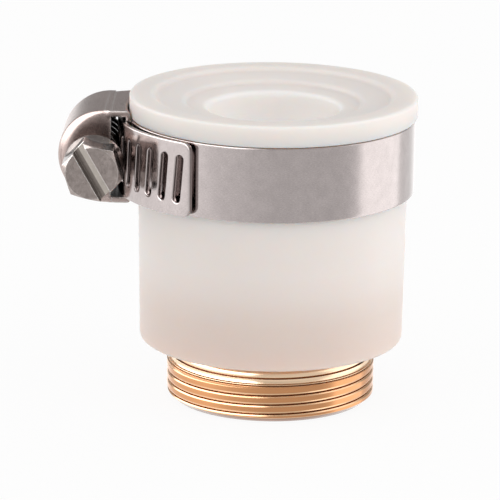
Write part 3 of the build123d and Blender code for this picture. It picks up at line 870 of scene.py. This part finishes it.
endRows = np.array([slotFloor, screw["hexFoot"]])[:, None] + np.zeros((1, screw["floorRows"]))
footLoop = np.concatenate([edgeFlat, highEnd[1:-1], -edgeFlat, lowEnd[::-1][1:-1]])
headSheets = [
    sheet(screwPoints(headTurn(floorFlat, slotFloor))),
    sheet(screwPoints(headTurn(np.stack([footLoop, 0 * footLoop]), screw["hexFoot"])), wrapV=True),
]
for way in (1, -1):
    headSheets += [
        sheet(screwPoints(headTurn(way * landFlat, screw["face"]))),
        sheet(screwPoints(headTurn(way * ringFlat, ringA))),
        sheet(screwPoints(headTurn(way * edgeFlat[None] + np.zeros((3, 1, 1)), sideA))),
        sheet(screwPoints(headTurn(way * wallFlat[None] + np.zeros((2, 1, 1)), wallRows))),
        sheet(screwPoints(headTurn((lowEnd if way == 1 else highEnd)[None] + np.zeros((2, 1, 1)), endRows))),
    ]
makePiece(
    "worm_screw_skin", [sheet(screwPoints(shaft), wrapU=True)] + headSheets,
    "worm_screw", "screw", screwMat, screw["sharpDeg"],
)

# floor, world and lamps
studio = {
    "floor": (0.84, 0.835, 0.83), "floorWhite": 0.92, "floorHalf": 3, "floorRough": 0.9, "diffuse": 0.85,
    "key": 1.38, "keyPlace": (0.55, -0.2, 0.12), "fill": 0.75, "fillPlace": (-0.5, -0.3, 0.12),
    "lampSize": 0.4, "aim": (0, 0, 0.016), "strongest": 2.5,
    # what shiny metal sees, by azimuth: 0 at the back, then left, front, right and back again
    "low": [
        (0.0, 1.6), (0.12, 1.2), (0.30, 1.4), (0.392, 1.0), (0.5, 0.8), (0.667, 0.8), (0.70, 1.0),
        (0.724, 1.85), (0.84, 1.85), (0.856, 1.05), (0.91, 1.02), (0.94, 1.2), (1.0, 1.5),
    ],
    "high": [
        (0.0, 0.42), (0.14, 0.42), (0.25, 0.8), (0.5, 0.62), (0.66, 0.8), (0.70, 1.6), (0.80, 1.6),
        (0.86, 0.42), (1.0, 0.42),
    ],
    "softbox": (-0.86, -0.25, 0.42), "softboxFrom": 0.52, "softboxTo": 0.60, "softboxGain": 3.2,
}


def azimuthStrength(tree, vector, strengths):
    # angle round Z as a share of a turn, read through a ramp of strengths; its white is the strongest
    axis = addNode(tree, "ShaderNodeSeparateXYZ", {0: vector})
    turn = mathNode(tree, "ARCTAN2", axis.outputs[0], mathNode(tree, "MULTIPLY", axis.outputs[1], -1.0))
    share = mathNode(tree, "ADD", mathNode(tree, "DIVIDE", turn, 2 * np.pi), 0.5)
    stops = [(place, grey(value / studio["strongest"])) for place, value in strengths]
    return mathNode(tree, "MULTIPLY", rampNode(tree, share, stops), studio["strongest"])


world = bpy.data.worlds.new("studio")
scene.world = world
world.use_nodes = True
tree = world.node_tree
background = tree.nodes["Background"]
light = addNode(tree, "ShaderNodeLightPath")
direction = addNode(tree, "ShaderNodeTexCoord").outputs["Generated"]
seen = mathNode(tree, "MAXIMUM", light.outputs["Is Camera Ray"], light.outputs["Is Transmission Ray"])
boxDir = Vector(studio["softbox"]).normalized()
boxDot = vectorNode(tree, "DOT_PRODUCT", direction, boxDir)
boxLight = mapRange(tree, boxDot, studio["softboxFrom"], studio["softboxTo"], studio["softboxGain"])
sky = mathNode(tree, "ADD", azimuthStrength(tree, direction, studio["high"]), boxLight)
around = mathNode(tree, "MULTIPLY", sky, light.outputs["Is Glossy Ray"])
special = mathNode(tree, "MAXIMUM", seen, light.outputs["Is Glossy Ray"])
plain = mathNode(tree, "MULTIPLY", mathNode(tree, "SUBTRACT", 1.0, special), studio["diffuse"])
background.inputs[0].default_value = (1, 1, 1, 1)
tree.links.new(mathNode(tree, "ADD", mathNode(tree, "ADD", seen, around), plain), background.inputs[1])

floorMat = bpy.data.materials.new("pale floor")
floorMat.use_nodes = True
tree = floorMat.node_tree
shader = tree.nodes["Principled BSDF"]
shader.inputs["Base Color"].default_value = (*studio["floor"], 1)
shader.inputs["Roughness"].default_value = studio["floorRough"]
shader.inputs["Specular IOR Level"].default_value = 0.0
light = addNode(tree, "ShaderNodeLightPath")
incoming = addNode(tree, "ShaderNodeNewGeometry").outputs["Incoming"]
place = addNode(tree, "ShaderNodeVectorMath", {0: incoming, "Scale": -1.0}, operation="SCALE").outputs[0]
white = addNode(tree, "ShaderNodeEmission", {0: (1, 1, 1, 1), 1: 1.0})
whiten = mathNode(tree, "MULTIPLY", light.outputs["Is Camera Ray"], studio["floorWhite"])
pale = addNode(tree, "ShaderNodeMixShader", {0: whiten, 1: shader.outputs[0], 2: white.outputs[0]})
shine = addNode(tree, "ShaderNodeEmission", {0: (1, 1, 1, 1), 1: azimuthStrength(tree, place, studio["low"])})
mixShader = addNode(tree, "ShaderNodeMixShader", {
    0: light.outputs["Is Glossy Ray"], 1: pale.outputs[0], 2: shine.outputs[0],
})
tree.links.new(mixShader.outputs[0], tree.nodes["Material Output"].inputs[0])
floorMesh = bpy.data.meshes.new("floor")
side = studio["floorHalf"]
floorCorners = [(-side, -side, 0), (side, -side, 0), (side, side, 0), (-side, side, 0)]
floorMesh.from_pydata(floorCorners, [], [(0, 1, 2, 3)])
floorMesh.materials.append(floorMat)
floor = bpy.data.objects.new("floor", floorMesh)
scene.collection.objects.link(floor)
floor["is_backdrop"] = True


def softLamp(name, place, power):
    data = bpy.data.lights.new(name, "AREA")
    data.energy, data.size = power, studio["lampSize"]
    lamp = bpy.data.objects.new(name, data)
    lamp.location = place
    lamp.rotation_mode = "QUATERNION"
    lamp.rotation_quaternion = (Vector(studio["aim"]) - Vector(place)).to_track_quat("-Z", "Y")
    lamp.visible_camera = False
    lamp.visible_glossy = False
    scene.collection.objects.link(lamp)


softLamp("key", studio["keyPlace"], studio["key"])
softLamp("fill", studio["fillPlace"], studio["fill"])
print("studio: floor, world and two lamps")

# camera: long lens, a little above and rolled; the target lands off the middle of the frame
shot = {
    "azimuth": 1.0, "elevation": 15.37, "roll": 0.8, "away": 0.4, "target": (0, 0, 0.016),
    "focal": 3784.86, "pixel": (271.81, 247.09), "frame": 500,  # in pixels
    "sensor": 36, "clip": (0.01, 20),  # in millimetres, and in metres
}
azimuth, elevation, roll = np.radians([shot["azimuth"], shot["elevation"], shot["roll"]])
back = Vector((np.sin(azimuth) * np.cos(elevation), -np.cos(azimuth) * np.cos(elevation), np.sin(elevation)))
right = (-back).cross(Vector((0, 0, 1))).normalized()
up = right.cross(-back)
right, up = right * np.cos(roll) + up * np.sin(roll), up * np.cos(roll) - right * np.sin(roll)
shiftX, shiftY = (value - shot["frame"] / 2 for value in shot["pixel"])
ahead = -back * shot["focal"] - right * shiftX + up * shiftY
ahead.normalize()
right = (right - ahead * right.dot(ahead)).normalized()
up = right.cross(ahead)
cameraData = bpy.data.cameras.new("camera")
cameraData.sensor_width = shot["sensor"]
cameraData.lens = shot["focal"] * shot["sensor"] / shot["frame"]
camera = bpy.data.objects.new("camera", cameraData)
spot = Vector(shot["target"]) + back * shot["away"]
camera.matrix_world = Matrix((
    (right.x, up.x, -ahead.x, spot.x), (right.y, up.y, -ahead.y, spot.y), (right.z, up.z, -ahead.z, spot.z),
    (0, 0, 0, 1),
))
cameraData.clip_start, cameraData.clip_end = shot["clip"]
scene.collection.objects.link(camera)
scene.camera = camera
scene.view_settings.view_transform = "Standard"
print("camera at", [round(v, 4) for v in spot])

newLow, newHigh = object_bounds()
for label, corners in (("box", (*newLow, *newHigh)), ("cad", (*cadLow, *cadHigh))):
    print(label, [round(v / mm, 2) for v in corners])
